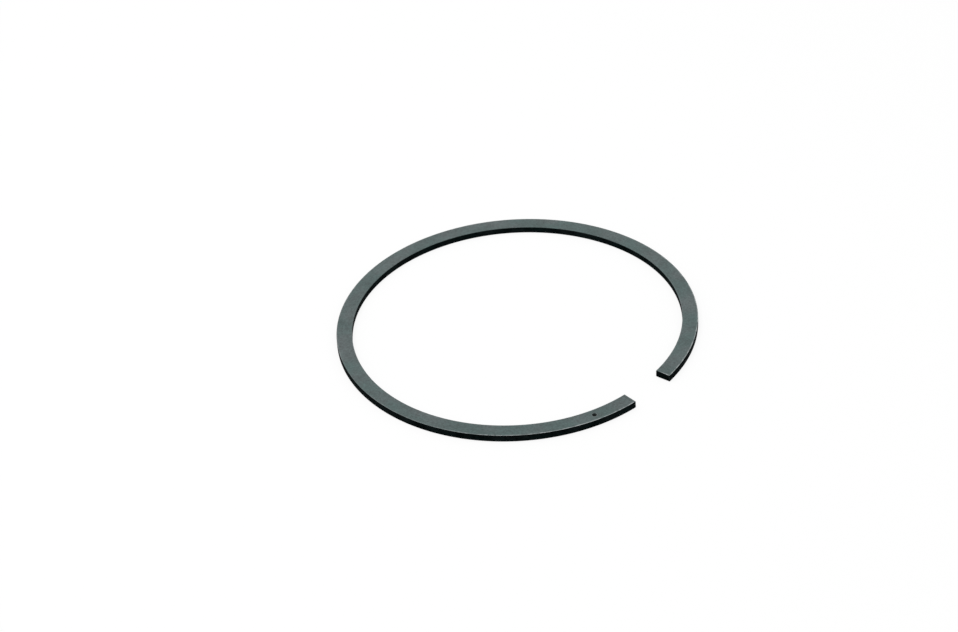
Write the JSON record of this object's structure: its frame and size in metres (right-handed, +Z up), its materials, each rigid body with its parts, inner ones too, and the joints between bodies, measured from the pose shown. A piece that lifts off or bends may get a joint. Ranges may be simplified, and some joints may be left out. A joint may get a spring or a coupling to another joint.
{
  "type": "piston ring",
  "caption": "Split compression ring of dark phosphated cast iron, sprung open, that sits in a piston groove and seals it against the cylinder bore.",
  "frame": {"origin": "centre of the ring's footprint, on the lower side face that it lies on", "axes": "+Z up out of the marked side face, -Y towards the gap, X across the gap"},
  "size_m": [0.1, 0.0978, 0.002],
  "materials": {
    "phosphated_iron": "satin"
  },
  "bodies": {
    "root": {"piston_ring": "phosphated_iron"}
  },
  "joints": []
}
